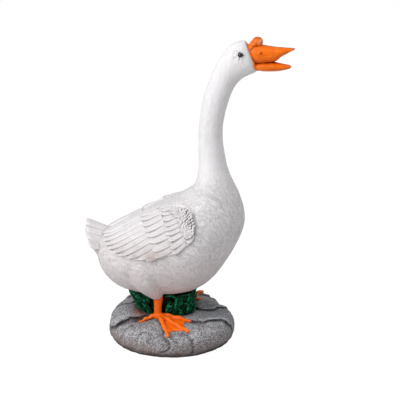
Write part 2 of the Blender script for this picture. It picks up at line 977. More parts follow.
@dataclass(frozen=True)
class GrassPaint:
    """Deep green gloss, its shade stored on each blade, with lighter ridges."""

    green: Colour = (0.002, 0.12, 0.045, 1)
    light: Colour = (0.03, 0.66, 0.29, 1)
    dark: Colour = (0.0, 0.008, 0.003, 1)
    wash_reach: float = 5 * MM
    relief: float = 0.3 * MM

    def build(self, effects: Effects) -> bpy.types.Material:
        """Mixes the finish.

        Args:
            effects: The shared effects.

        Returns:
            The material.
        """
        coat = Coat("green_grass", effects)
        graph = coat.graph
        clouds = graph.noise(coat.place, 220, 2)
        base = graph.mix(coat.stored("blade_shade"), self.dark, self.green)
        lit = graph.mix(graph.math("MULTIPLY", coat.stored("blade_shade"), graph.fade(clouds, 0.45, 0.7)),
                        base, self.light)
        washed = coat.washed(lit, self.dark, self.wash_reach, 0.9, clouds)
        coat.settings(Roughness=0.35, Specular_IOR_Level=0.12)
        return coat.finish(washed, clouds, self.relief, 0.3)


@dataclass(frozen=True)
class StonePaint:
    """Grey cast stone: speckled, rubbed pale on its edges, dark in the cracks and brownish low down."""

    grey: Colour = (0.36, 0.355, 0.375, 1)
    pale: Colour = (0.78, 0.765, 0.79, 1)
    dark: Colour = (0.035, 0.035, 0.040, 1)
    crack: Colour = (0.018, 0.016, 0.017, 1)
    brown: Colour = (0.16, 0.10, 0.08, 1)
    # What stored attributes lay over the stone: the attribute, its amount and its colour.
    tints: Sequence[tuple[str, float, Colour]] = (
        ("stain", 0.85, (0.20, 0.060, 0.028, 1)),
        ("shade", 0.55, (0.075, 0.10, 0.125, 1)),
    )
    brown_from: float = 4 * MM
    brown_to: float = 33 * MM
    grain_scale: float = 480
    patch_shade: float = 0.55
    wash_reach: float = 12 * MM
    relief: float = 1.1 * MM

    def build(self, effects: Effects) -> bpy.types.Material:
        """Mixes the finish.

        Args:
            effects: The shared effects.

        Returns:
            The material.
        """
        coat = Coat("grey_stone", effects)
        graph = coat.graph
        grain = coat.group(effects.grain, {"Vector": coat.place, "Scale": self.grain_scale})
        broad = graph.mix(grain["Patches"], self.grey, darkened(self.grey, self.patch_shade))
        speckled = graph.mix(graph.fade(grain["Speckle"], 0.15, 0.85), graph.mix(0.66, broad, self.dark),
                             graph.mix(0.42, broad, self.pale))
        low = graph.fade(coat.height(), self.brown_from, self.brown_to, 0.85, 0)
        tinted = graph.mix(graph.math("MULTIPLY", low, graph.fade(grain["Patches"], 0, 1, 1, 0.5)),
                           speckled, self.brown)
        for name, amount, tint in self.tints:
            tinted = graph.mix(graph.math("MULTIPLY", coat.stored(name), amount), tinted, tint)
        lit = coat.rubbed(tinted, self.pale, 0.35)
        crack = graph.math("MULTIPLY", coat.stored("line"), graph.fade(grain["Speckle"], 0, 1, 1, 0.6))
        lined = graph.mix(crack, lit, self.crack)
        washed = coat.washed(lined, self.crack, self.wash_reach, 1.3, grain["Speckle"])
        coat.settings(Roughness=0.85, Specular_IOR_Level=0.3)
        return coat.finish(washed, grain["Height"], self.relief, 0.75)


@dataclass(frozen=True)
class EyePaint:
    """Black gloss, with the faintest cloud in it."""

    black: Colour = (0.006, 0.006, 0.008, 1)
    cloud: Colour = (0.02, 0.021, 0.026, 1)
    relief: float = 0.05 * MM

    def build(self, effects: Effects) -> bpy.types.Material:
        """Mixes the finish.

        Args:
            effects: The shared effects.

        Returns:
            The material.
        """
        coat = Coat("black_eye", effects)
        clouds = coat.graph.noise(coat.place, 500, 2)
        coat.settings(Roughness=0.14, Specular_IOR_Level=0.6)
        colour = coat.graph.mix(coat.graph.fade(clouds, 0.4, 0.7), self.black, self.cloud)
        return coat.finish(colour, clouds, self.relief, 0.2)


@dataclass
class Finishes:
    """Every finish of the statue, mixed once."""

    effects: Effects = field(default_factory=Effects)

    def __post_init__(self) -> None:
        """Mixes them."""
        self.plumage = PlumagePaint().build(self.effects)
        self.feathers = FeatherPaint().build(self.effects)
        beak = EnamelPaint("orange_beak", (0.96, 0.17, 0.001, 1), amount=1.25)
        feet = EnamelPaint("orange_feet", (1.0, 0.145, 0.001, 1), reach=4 * MM, amount=0.8)
        knob = EnamelPaint("orange_knob", (0.9, 0.165, 0.005, 1), roughness=0.22, amount=0.7)
        self.beak, self.feet, self.knob = (paint.build(self.effects) for paint in (beak, feet, knob))
        self.grass = GrassPaint().build(self.effects)
        self.stone = StonePaint().build(self.effects)
        self.eye = EyePaint().build(self.effects)


@dataclass
class RockBase:
    """The base: a mound with flat-topped stones grown into it, and cracks between them."""

    finishes: Finishes
    length: float = 200 * MM
    width: float = 198 * MM
    height: float = 42 * MM
    waist: float = 14 * MM
    undercut: float = 40 * MM
    squareness: float = 0.8
    stone_rise: float = 0.5
    rounding: float = 0.68
    stone_fit: float = 0.97
    sunk: float = 3 * MM
    # How far the cracks wander from their points, and how closely the wandering turns.
    wander: float = 3.4 * MM
    wander_scale: float = 90
    # How far beside a crack its two sides part in height, and by what share of its depth.
    step_reach: float = 15 * MM
    step_share: float = 0.5
    # The share of a crack's width that is dark, and the depth in millimetres from which it is fully so.
    dark_share: float = 0.4
    dark_depth: float = 3
    voxel: float = 1.35 * MM
    # Grain and height of each layer of roughness.
    roughness: Rows = ((24 * MM, 2.6 * MM), (7 * MM, 1.5 * MM), (3 * MM, 0.8 * MM))
    # Centre and radii as shares of half the length, half the width and the height, and turn in degrees.
    stones: Rows = (
        (-0.58, -0.04, 0.50, 0.40, 0.36, 0.60, 20),
        (-0.50, 0.45, 0.40, 0.46, 0.38, 0.68, -25),
        (-0.36, -0.58, 0.16, 0.44, 0.36, 0.66, 10),
        (0.36, -0.52, 0.14, 0.50, 0.42, 0.66, -15),
        (0.54, -0.02, 0.22, 0.44, 0.50, 0.72, 15),
        (0.50, 0.28, 0.80, 0.16, 0.12, 0.28, 30),
        (0.20, 0.52, 0.20, 0.50, 0.44, 0.74, 5),
    )
    # Stains, by the attribute that the finish reads: place in plan and reach.
    stains: dict[str, tuple[float, float, float]] = field(default_factory=lambda: {
        "stain": (-46 * MM, -24 * MM, 25 * MM), "shade": (66 * MM, 0, 62 * MM)})
    # Cracks between the stones, in millimetres: width, depth and the points that each passes near.
    cracks: Sequence[tuple[float, float, Rows]] = (
        (4.5, 3.2, ((-96, -30, 16), (-77, -40, 27), (-68, -40, 32), (-62, -36, 35), (-46, -40, 38))),
        (4.0, 2.6, ((-99, 38, 18), (-90, 35, 27), (-81, 33, 35), (-72, 40, 40), (-60, 52, 42))),
        (3.6, 2.4, ((-2, -70, 36), (0, -83, 29), (7, -91, 25), (8, -97, 18), (2, -98, 12), (-4, -98, 9))),
        (8.0, 1.9, ((26, -76, 32), (40, -84, 25), (45, -89, 14), (44, -93, 3))),
        (4.0, 3.2, ((30, -38, 41), (43, -39, 38), (56, -40, 35), (65, -35, 34), (86, -23, 27),
                    (98, -14, 12))),
        (4.5, 3.0, ((30, 14, 42), (45, 0, 40), (52, -2, 39), (66, 5, 38), (75, 21, 33), (88, 36, 22))),
        (5.0, 1.3, ((-44, -92, 15), (-40, -85, 23), (-34, -79, 29), (-28, -77, 30), (-19, -86, 28))),
        (4.4, 1.6, ((-72, -72, 18), (-66, -67, 25), (-58, -65, 30), (-50, -58, 34))),
        (15.0, 3.4, ((-54, -33, 34), (-38, -28, 34))),
        (4.5, 3.0, ((-14, 52, 42), (-22, 70, 38), (-18, 86, 26), (-24, 97, 9))),
        (4.5, 2.8, ((26, 60, 40), (46, 70, 34), (62, 72, 24), (70, 76, 8))),
        (4.0, 2.4, ((-86, -6, 26), (-66, 4, 40), (-52, 16, 43), (-50, 34, 43))),
    )

    def build(self) -> Thing:
        """Models the base.

        Returns:
            The piece.
        """
        rock = blended("rock_base", [self.mound(), *map(self.stone, self.stones)], self.voxel, 2)
        skin = surface_of(rock)
        lines = [self.on_skin(skin, corners) for _, _, corners in self.cracks]
        dark = np.zeros(len(rock.data.vertices))
        for (width, depth, _), line in zip(self.cracks, lines):
            near = falloff(distance_to(vertex_data(rock), line), self.dark_share * width * MM)
            dark = np.maximum(dark, near * min(1, depth / self.dark_depth))
            step_along(rock, line, self.step_reach, self.step_share * depth * MM)
            carve(rock, line, width * MM, depth * MM)
        mark(rock, "line", dark)
        for grain, height in self.roughness:
            roughen(rock, grain, height)
        with editing(rock):
            bpy.ops.mesh.bisect(plane_co=(0, 0, 0), plane_no=(0, 0, 1), clear_inner=True, use_fill=True)
        places = vertex_data(rock)
        for name, (x, y, reach) in self.stains.items():
            mark(rock, name, falloff(np.linalg.norm(places[:, :2] - (x, y), axis=1), reach))
        return dress(rock, "rock_base", self.finishes.stone)

    def mound(self) -> Thing:
        """A flattened mound, drawn up ring by ring from below the ground.

        Returns:
            The mound.
        """
        rings, below, above, degrees = [], 3, 17, 5.5
        for k in range(-below, above):
            if k < 0:
                rise, reach = k / below * (self.waist + self.sunk) / self.undercut, self.undercut
            else:
                rise, reach = math.sin(math.radians(k * degrees)), self.height - self.waist
            rings.append((self.waist + rise * reach, (1 - rise**2)**(self.squareness / 2)))
        activate()
        bpy.ops.mesh.primitive_circle_add(vertices=72, radius=1, fill_type="NGON",
                                          location=(0, 0, rings[0][0]))
        bpy.context.object.scale = (self.length / 2 * rings[0][1], self.width / 2 * rings[0][1], 1)
        made = settled("mound")
        with editing(made):
            for (low, last), (high, spread) in zip(rings, rings[1:]):
                bpy.ops.mesh.extrude_region_move(TRANSFORM_OT_translate={"value": (0, 0, high - low)})
                wider = spread / last
                bpy.ops.transform.resize(value=(wider, wider, 1), center_override=(0, 0, high))
        return made

    def stone(self, row: Sequence[float]) -> Thing:
        """One stone: a cube subdivided, rounded off and turned into its place.

        Args:
            row: Its row of the table.

        Returns:
            The stone.
        """
        activate()
        bpy.ops.mesh.primitive_cube_add(size=2)
        made = settled("stone")
        with editing(made):
            bpy.ops.mesh.subdivide(number_cuts=7)
        modify(made, "CAST", factor=self.rounding, cast_type="SPHERE")
        half = (self.length / 2, self.width / 2, self.height)
        centre, radii = share_of(row[:3], *half), share_of(row[3:6], *half)
        turn = Matrix.Rotation(math.radians(row[6]), 4, "Z")
        made.matrix_world = Matrix.Translation(centre) @ turn @ Matrix.Diagonal((*radii * self.stone_fit, 1))
        activate(made)
        bpy.ops.object.transform_apply(location=True, rotation=True, scale=True)

        def kept_in(place: Vector) -> Vector:
            """A point of the stone, drawn in to the base's outline."""
            out = math.hypot(place.x / half[0], place.y / half[1])
            inward = min(1, self.outline_at(place.z) / max(out, 0.1))
            return Vector((place.x * inward, place.y * inward, place.z))

        reshape(made, kept_in)
        return made

    def outline_at(self, height: float) -> float:
        """How far out the stones may reach at a height, as a share of the base's outline.

        Args:
            height: The height.

        Returns:
            The share.
        """
        if height > self.waist:
            rise = self.stone_rise * (height - self.waist) / (self.height - self.waist)
        else:
            rise = (self.waist - height) / self.undercut
        return (1 - min(0.9, rise * rise))**(self.squareness / 2)

    def on_skin(self, skin: BVHTree, corners: Rows, count: int = 24) -> list[Vector]:
        """A smooth line on the rock past points in millimetres.

        Args:
            skin: The rock's surface.
            corners: The points.
            count: How many points the line has.

        Returns:
            The line.
        """
        points = [Vector(corner) * MM for corner in corners]
        line = [along(points, i / (count - 1)) for i in range(count)]
        wandering = (p + noise.noise_vector(p * self.wander_scale) * self.wander for p in line)
        return [skin.find_nearest(p)[0] for p in wandering]


@dataclass
class GooseBody:
    """Body, neck and head in one skin, with the thighs and the wedge that carries the tail."""

    finishes: Finishes
    belly: float = 72 * MM
    size: Vector = millimetres(230, 148, 232)
    neck_seat: float = 0.187
    neck_length: float = 118 * MM
    neck_width: float = 37 * MM
    head_width: float = 43 * MM
    tail_root: float = 0.35
    tail_size: Vector = millimetres(54, 66, 232)
    thigh_length: float = 62 * MM
    thigh_top: float = 28 * MM
    thigh_end: float = 9 * MM
    thigh_rake: float = 22 * MM
    thigh_splay: float = 14.4 * MM
    # The share of a half turn by which a thigh swells from its end through its thickest to its top.
    thigh_swell: float = 0.62
    knee_rise: float = 4 * MM
    voxel: float = 1.6 * MM
    # Grain and height of each layer of roughness.
    roughness: Rows = ((34 * MM, 1.6 * MM), (9 * MM, 0.5 * MM))
    # Top x, top z, bottom x, bottom z and width, in percent of the body, from the rump to the neck.
    body_rows: Rows = (
        (-49, 36, -50, 27, 16),
        (-46, 42, -49, 20, 46),
        (-37, 48, -43, 11, 72),
        (-27, 53.5, -34, 4.5, 88),
        (-16, 59.5, -22, 1, 96),
        (-3.5, 66, -6, 0, 100),
        (6, 70.5, 12, 2, 99),
        (12, 74, 26, 10, 94),
        (15.5, 77, 36.5, 22.5, 84),
        (17.5, 81.5, 45, 37.5, 70),
        (18.5, 87.5, 50, 53, 54),
        (18.7, 95, 47, 69, 39),
    )
    # The same for the neck: x in millimetres from its back, z in percent of its length.
    neck_rows: Rows = (
        (0, 6, 46, -25, 116),
        (0, 24, 37.5, 12, 100),
        (1.5, 43, 38, 39, 97),
        (6, 67, 44, 62, 97),
        (12.5, 85, 49.5, 75.5, 100),
    )
    # The same for the head, in millimetres from the top of the neck's back.
    head_rows: Rows = (
        (22, 6, 57, -14.5, 91),
        (34, 29, 66, -5, 97),
        (48, 45, 76, 0.5, 100),
        (61, 52, 85, 5, 95),
        (70, 52, 89, 9, 80),
    )
    # The tail's wedge: x in percent of its length from its root, z in percent of the body's height.
    tail_rows: Rows = (
        (0, 45, 30, 21, 90),
        (39, 42.5, 55, 22.5, 92),
        (70, 45, 78, 30, 86),
        (91, 47.5, 94, 38, 70),
        (100, 47.5, 100, 42, 44),
    )

    @property
    def head_origin(self) -> Vector:
        """The top of the neck's back, which the head, beak, knob and eyes are placed from."""
        return Vector((self.neck_seat * self.size.x, 0, self.belly + self.size.z + self.neck_length))

    @property
    def tail_origin(self) -> Vector:
        """The root of the tail, level with the belly."""
        return Vector((-self.tail_root * self.size.x, 0, self.belly))

    def trunk(self) -> Thing:
        """Body, neck and head in one loft, from rump to face.

        Returns:
            The loft.
        """
        foot = Vector((self.neck_seat * self.size.x, 0, self.belly + self.size.z))
        head_size = Vector((MILLIMETRES, self.head_width, MILLIMETRES))
        rows = [
            *sections(self.body_rows, self.size, Vector((0, 0, self.belly))),
            *sections(self.neck_rows, Vector((MILLIMETRES, self.neck_width, self.neck_length)), foot),
            *sections(self.head_rows, head_size, self.head_origin),
        ]
        return loft("trunk", smooth_sections(rows), 64)

    def wedge(self) -> Thing:
        """The wedge under the tail's feathers."""
        size = Vector((-self.tail_size.x, self.tail_size.y, self.tail_size.z))
        return loft("wedge", smooth_sections(sections(self.tail_rows, size, self.tail_origin)), 40)

    def thigh(self, ankle: Vector, side: Side) -> Thing:
        """The muscle over one leg, tapering down to it.

        Args:
            ankle: Where the leg meets its foot.
            side: The leg's side.

        Returns:
            The thigh.
        """
        knee = Vector((ankle.x, ankle.y, self.belly + self.knee_rise))
        hip = knee + Vector((-self.thigh_rake, side.value * self.thigh_splay, self.thigh_length))
        line, radii, steps, gain = [], [], 12, self.thigh_top - self.thigh_end
        for t in (i / steps for i in range(steps + 1)):
            bulge = side.value * self.thigh_splay / 3 * math.sin(math.pi * t)
            line.append(knee.lerp(hip, t) + Vector((0, bulge, 0)))
            radii.append(self.thigh_end + gain * math.sin(math.pi * t * self.thigh_swell))
        return tube("thigh", line, radii, 7)

    def build(self, ankles: dict[Side, Vector]) -> tuple[Thing, BVHTree]:
        """Models the skin.

        Args:
            ankles: Where each leg meets its foot.

        Returns:
            The piece, and the surface that the wings are laid on.
        """
        trunk, wedge = self.trunk(), self.wedge()
        bed = surface_of(trunk, wedge)
        thighs = [self.thigh(ankle, side) for side, ankle in ankles.items()]
        skin = blended("goose_body", [trunk, wedge, *thighs], self.voxel, 8)
        for grain, height in self.roughness:
            roughen(skin, grain, height)
        return dress(skin, "goose_body", self.finishes.plumage), bed


@dataclass
class Eye:
    """An almond eyeball with its point forward, and the lid round it."""

    finishes: Finishes
    origin: Vector
    side: Side
    diameter: float = 9.6 * MM
    bulge: float = 1.3 * MM
    lid: float = 1.9 * MM
    forward: float = 64 * MM
    rise: float = 34 * MM
    outside: float = 50 * MM
    gaze: tuple[float, float, float] = (0.97, 0, -0.12)
    # The almond's reach before and behind its middle and its height, as shares of its radius.
    reaches: tuple[float, float] = (1.3, 0.92)
    height: float = 0.9
    # How far the ball is seated in the head, how deep it is and how far out its lid lies, in bulges.
    seating: float = 0.9
    deepness: float = 2.2
    lid_out: float = 0.8

    def build(self, skin: BVHTree) -> list[Thing]:
        """Models the eyeball and its lid on the head's skin.

        Args:
            skin: The body's surface.

        Returns:
            The eyeball and the lid.
        """
        level = self.origin + Vector((self.forward, self.side.value * self.outside, self.rise))
        spot, normal = skin.ray_cast(level, Vector((0, -self.side.value, 0)))[:2]
        gaze = Vector(self.gaze)
        forward = (gaze - normal * gaze.dot(normal)).normalized()
        up = normal.cross(forward) * -self.side.value
        ball = rounded("ball", Vector(), Vector((1, 1, 1)), segments=32)
        deep, radius, steps = self.bulge * self.deepness, self.diameter / 2, 36

        def seat(place: Vector) -> Vector:
            """A point of a sphere of diameter 1 laid on the almond."""
            across, high, out = place.x * 2, place.z * 2, place.y * 2
            narrow = 1 - 0.8 * max(0, across)**1.5
            stretch = self.reaches[0] if across > 0 else self.reaches[1]
            return (spot - normal * self.bulge * self.seating + forward * across * radius * stretch
                    + up * high * radius * self.height * narrow + normal * out * deep)

        reshape(ball, seat)
        turns = [2 * math.pi * k / steps for k in range(steps + 1)]
        ring = [seat(Vector((math.cos(a), 0, math.sin(a))) / 2) + normal * self.bulge * self.lid_out
                for a in turns]
        lid = tube("lid", ring, [self.lid / 2 * (0.8 + 0.3 * math.sin(a)) for a in turns])
        for thing in (ball, lid):
            with editing(thing):
                face_out()
        return [dress(ball, f"eye_{self.side.label}", self.finishes.eye),
                dress(lid, f"eyelid_{self.side.label}", self.finishes.plumage)]


@dataclass
class Beak:
    """The open beak with its nostrils, mouth groove and rim, and the knob on the forehead."""

    finishes: Finishes
    origin: Vector
    upper_length: float = 68.5 * MM
    lower_length: float = 55 * MM
    width: float = 32 * MM
    rim: float = 4.8 * MM
    upper_forward: float = 75 * MM
    lower_forward: float = 83 * MM
    knob_forward: float = 85.5 * MM
    knob_size: Vector = millimetres(19, 18, 17)
    face_top: float = 58 * MM
    nostril_forward: float = 92 * MM
    nostril_rise: float = 36 * MM
    nostril_bump: Vector = millimetres(7.5, 2.6, 5)
    nostril_pit: Vector = millimetres(4.2, 3, 2.8)
    pit_forward: float = 1.6 * MM
    pit_out: float = 1.2 * MM
    ridge_width: float = 3.8 * MM
    mouth_width: float = 4.4 * MM
    seam_width: float = 3 * MM
    voxel: float = 0.7 * MM
    # Middle and size in millimetres and slope in degrees of the form that hollows each half.
    palate: tuple[Sequence[float], Sequence[float], float] = ((131, 0, 13), (96, 17, 24), -22)
    trough: tuple[Sequence[float], Sequence[float], float] = ((128, 0, 24), (90, 18, 15), 4)
    # Lines on the left side, in millimetres from the origin: forward, outward and up.
    mouth: Rows = ((86, 15.5, 20), (97, 15.5, 21.4), (113, 13, 22.5))
    corner: Rows = ((80, 13.5, 26), (82.5, 14, 20), (85.5, 12.5, 14), (90, 8, 9))
    corner_radii: Sequence[float] = (2.2 * MM, 3.1 * MM, 2.4 * MM, 1.2 * MM)
    corner_gleam: Rows = ((79, 16, 26), (81, 17, 20.5))
    # The same from the knob's middle.
    knob_seam: Rows = ((-1, -8.5, -7), (6, -6.5, -6.2), (9.2, 0, -5), (6, 6.5, -6.2), (-1, 8.5, -7))
    knob_gleam: Rows = ((4.5, 7.5, 0.5), (6.5, 7, 3.5))
    # Each lobe of the knob: forward and up from its middle, then its sizes, as shares of the knob's.
    knob_lobes: Rows = (
        (0.12, 0.08, 0.88, 1.06, 0.86),
        (-0.34, -0.38, 0.56, 1.62, 0.7),
        (-0.14, -0.14, 0.7, 1.3, 0.74),
        (0.26, -0.12, 0.5, 0.9, 0.6),
    )
    # Top x, top z, bottom x, bottom z and width: x in percent of each half's length, z in millimetres.
    upper_rows: Rows = (
        (-1, 45, 12, 16, 90),
        (7, 48, 24, 17, 100),
        (28, 46.6, 37, 18.6, 93),
        (54, 44, 58, 22.2, 80),
        (70, 43.2, 71, 29.2, 66),
        (85, 42.6, 85, 34.6, 46),
        (95, 42.2, 95, 38.6, 26),
        (100, 41.8, 100, 40.6, 12),
    )
    lower_rows: Rows = (
        (0, 21, 14, 8, 90),
        (21, 21.5, 27, 7, 94),
        (50, 21.7, 50, 7, 80),
        (70, 19.5, 70, 8, 66),
        (89, 17.6, 87, 10, 48),
        (97, 16.6, 96, 11.4, 30),
        (101, 15, 100, 13, 14),
    )

    def rows(self, table: Rows, length: float, forward: float) -> list[Section]:
        """The sections of one half."""
        size = Vector((length, self.width, MILLIMETRES))
        return sections(table, size, self.origin + Vector((forward, 0, 0)))

    def build(self) -> list[Thing]:
        """Models the beak and the knob.

        Returns:
            The two halves, the rim and the knob.
        """
        upper_rows = self.rows(self.upper_rows, self.upper_length, self.upper_forward)
        lower_rows = self.rows(self.lower_rows, self.lower_length, self.lower_forward)
        upper, lower = self.upper(upper_rows), self.lower(lower_rows)
        rim = blended("beak_rim", [self.rim_round(upper_rows[0]), *self.corners()], self.voxel * 0.8, 2)
        gleam = self.beside(vertex_data(rim), self.origin, self.corner_gleam, 3.6 * MM)
        mark(rim, "gleam", 0.55 * gleam)
        return [
            dress(upper, "upper_beak", self.finishes.beak),
            dress(lower, "lower_beak", self.finishes.beak),
            dress(rim, "beak_rim", self.finishes.beak),
            dress(self.knob(), "knob", self.finishes.knob),
        ]

    def upper(self, rows: list[Section]) -> Thing:
        """The upper half: hollow underneath, a ridge on top and a nostril on each side.

        Args:
            rows: The half's sections.

        Returns:
            The half, its dark lines stored.
        """
        made = loft("upper", smooth_sections(rows), 44)
        skin, spots = surface_of(made), []
        for side in Side:
            level = self.origin + Vector((self.nostril_forward, side.value * self.width, self.nostril_rise))
            spots.append(skin.ray_cast(level, Vector((0, -side.value, 0)))[0])
        bumps = [rounded("bump", spot, self.nostril_bump) for spot in spots]
        made = blended("upper", [made, *bumps], self.voxel, 3)
        pits = []
        for spot, side in zip(spots, Side):
            middle = spot + Vector((self.pit_forward, side.value * self.pit_out, 0))
            pits.append(rounded("pit", middle, self.nostril_pit))
        subtract(made, self.hollow("palate", *self.palate), *pits)
        places = vertex_data(made)
        ridge = [row.top for row in smooth_sections(rows)]
        line = 0.9 * falloff(distance_to(places, ridge), self.ridge_width)
        for spot, side in zip(spots, Side):
            pit = spot + Vector((2.2 * MM, side.value * MM, 0))
            line = np.maximum(line, falloff(distance_to(places, [pit, pit + Vector((0, 0, MM))]), 2.6 * MM))
        line = np.maximum(line, self.mouth_line(places))
        mark(made, "line", line)
        return made

    def lower(self, rows: list[Section]) -> Thing:
        """The lower half with the trough that the tongue lies in.

        Args:
            rows: The half's sections.

        Returns:
            The half, its dark lines stored.
        """
        made = blended("lower", [loft("lower", smooth_sections(rows), 44)], self.voxel, 3)
        subtract(made, self.hollow("trough", *self.trough))
        mark(made, "line", self.mouth_line(vertex_data(made)) * 0.8)
        return made

    def hollow(self, name: str, middle: Sequence[float], size: Sequence[float], slope: float) -> Thing:
        """A sloping rounded form that hollows one half."""
        return rounded(name, self.origin + Vector(middle) * MM, Vector(size) * MM,
                       Matrix.Rotation(math.radians(slope), 3, "Y"))

    @staticmethod
    def beside(places: np.ndarray, base: Vector, points: Rows, reach: float) -> np.ndarray:
        """How near each place is to a line on either side of the goose, 1 on it and 0 from the reach on."""
        gaps = [distance_to(places, on_side(base, side, points)) for side in Side]
        return falloff(np.minimum(*gaps), reach)

    def mouth_line(self, places: np.ndarray) -> np.ndarray:
        """How dark the groove from the mouth's corner to the opening is at each place."""
        return self.beside(places, self.origin, self.mouth, self.mouth_width)

    def rim_round(self, row: Section) -> Thing:
        """The raised rim where one half of the beak meets the face."""
        steps = 40
        ring = [row.at(2 * math.pi * k / steps) for k in range(steps + 1)]
        return tube("rim", ring, [self.rim / 2] * len(ring))

    def corners(self) -> list[Thing]:
        """The bulge of the rim at each corner of the mouth, drawn down to the lower half."""
        return [tube("corner", on_side(self.origin, side, self.corner), self.corner_radii) for side in Side]

    def knob(self) -> Thing:
        """The knob: a round front lobe curling over broader ones on the rim.

        Returns:
            The knob, its dark lines and gleams stored.
        """
        size = self.knob_size
        middle = self.origin + Vector((self.knob_forward, 0, self.face_top - size.z / 2))
        forms = [rounded("lobe", middle + Vector((x * size.x, 0, z * size.z)), share_of(share, *size))
                 for x, z, *share in self.knob_lobes]
        made = blended("knob", forms, self.voxel, 5)
        places = vertex_data(made)
        top = falloff(np.abs(places[:, 2] - self.origin.z - self.face_top), 3.5 * MM) * 0.45
        seam = falloff(distance_to(places, on_side(middle, Side.LEFT, self.knob_seam)), self.seam_width)
        mark(made, "line", np.maximum(top, seam))
        mark(made, "gleam", self.beside(places, middle, self.knob_gleam, 3.4 * MM))
        return made


@dataclass
class Leg:
    """One leg and its webbed foot, lying on the rock."""

    finishes: Finishes
    side: Side
    setback: float
    belly: float
    spread: float = 32 * MM
    top_radius: float = 8 * MM
    waist_radius: float = 6.2 * MM
    ankle_radius: float = 7.6 * MM
    toe_radius: float = 4.2 * MM
    tip_radius: float = 2.6 * MM
    web_thickness: float = 2.4 * MM
    scallop: float = 0.14
    root: float = 6 * MM
    # How much the toes swell at their knuckles, as a share of their radius.
    knuckle: float = 0.13
    claw: float = 3 * MM
    claw_radii: Sequence[float] = (2 * MM, 1.7 * MM, 0.6 * MM)
    # From the knee to the top of the leg inside the thigh, in millimetres: forward, outward and up.
    hip: tuple[float, float, float] = (-8, 7, 31)
    # How far beside each toe its dark fold runs, in degrees, and the fold's width.
    folds: tuple[float, float] = (-9, 9)
    fold_width: float = 2.2 * MM
    voxel: float = 0.9 * MM
    # Each toe's angle from straight ahead towards the outside, in degrees, and its length.
    toes: Rows = ((67, 59 * MM), (40, 69 * MM), (10, 53 * MM), (164, 29 * MM))

    def ankle(self, rock: BVHTree) -> Vector:
        """Where the leg meets its foot."""
        place = Vector((-self.setback, self.side.value * self.spread, 0))
        place.z = height_on(rock, place)
        return place

    def resting(self, rock: BVHTree, angle: float, reach: float, rise: float) -> Vector:
        """A point above the rock, in polar places round the ankle.

        Args:
            rock: The rock's surface.
            angle: Degrees from straight ahead towards the outside.
            reach: Distance from the ankle.
            rise: Height above the rock.

        Returns:
            The point.
        """
        turn = math.radians(angle)
        out = Vector((math.cos(turn), self.side.value * math.sin(turn), 0))
        place = self.ankle(rock) + out * reach
        place.z = height_on(rock, place) + rise
        return place

    def toe(self, rock: BVHTree, angle: float, length: float) -> list[Thing]:
        """A toe with its knuckles, and the claw at its end.

        Args:
            rock: The rock's surface.
            angle: Degrees from straight ahead towards the outside.
            length: Its length.

        Returns:
            The toe and its claw.
        """
        steps = 14
        shares = [k / steps for k in range(steps + 1)]
        radii = [(self.toe_radius * (1 - t) + self.tip_radius * t)
                 * (1 + self.knuckle * math.cos(t * 6 * math.pi)) for t in shares]
        spine = [self.resting(rock, angle, length * t, radius * (1 - 0.4 * t))
                 for t, radius in zip(shares, radii)]
        ahead = (spine[-1] - spine[-3]).normalized()
        claw = [spine[-2], spine[-1] + Vector((0, 0, self.claw_radii[-1])), spine[-1] + ahead * self.claw]
        return [tube("toe", spine, radii), tube("claw", claw, self.claw_radii)]

    def web(self, rock: BVHTree, first: Sequence[float], second: Sequence[float]) -> Thing:
        """The web between two toes, sagging between them and scalloped at its edge.

        Args:
            rock: The rock's surface.
            first: One toe's angle and length.
            second: The next toe's.

        Returns:
            The web.
        """
        made = slab("web", 22, 16)

        def seat(place: Vector) -> Vector:
            """A point of the slab spread out between the toes."""
            sag = math.sin(math.pi * place.y)
            angle = first[0] + (second[0] - first[0]) * place.y
            edge = (first[1] + (second[1] - first[1]) * place.y) * (0.92 - self.scallop * sag)
            fold = 0.35 * MM * math.sin(place.y * 4 * math.pi) * place.x
            top = self.resting(rock, angle, edge * (0.1 + 0.9 * place.x), 0)
            lift = self.web_thickness * (1 - 0.25 * sag) + fold
            return top + Vector((0, 0, lift if place.z > 0.5 else -self.root))

        reshape(made, seat)
        return made

    def build(self, rock: BVHTree) -> Thing:
        """Models the leg and its foot.

        Args:
            rock: The rock's surface.

        Returns:
            The piece.
        """
        ankle = self.ankle(rock)
        knee = Vector((ankle.x, ankle.y, self.belly + self.root))
        line = [*on_side(knee, self.side, [self.hip]), knee, knee.lerp(ankle, 0.55), knee.lerp(ankle, 0.85),
                ankle + Vector((0, 0, self.toe_radius)), ankle - Vector((0, 0, self.root))]
        radii = [self.top_radius, self.top_radius, self.waist_radius, self.waist_radius * 1.06,
                 self.ankle_radius, self.ankle_radius]
        steps = 30
        shank, thick = ([along(row, i / steps) for i in range(steps + 1)] for row in (line, radii))
        forms = [tube("shank", shank, thick, 6)]
        for angle, length in self.toes:
            forms += self.toe(rock, angle, length)
        forms += [self.web(rock, a, b) for a, b in zip(self.toes[:2], self.toes[1:3])]
        foot = blended("foot", forms, self.voxel, 2)
        places = vertex_data(foot)
        dark = np.zeros(len(places))
        for angle, length in self.toes[:3]:
            for off in self.folds:
                fold = [self.resting(rock, angle + off * (1 - 0.5 * t), length * (0.2 + 0.55 * t), 1.6 * MM)
                        for t in (0, 0.5, 1)]
                dark = np.maximum(dark, 0.5 * falloff(distance_to(places, fold), self.fold_width))
        mark(foot, "line", dark)
        return dress(foot, f"foot_{self.side.label}", self.finishes.feet)


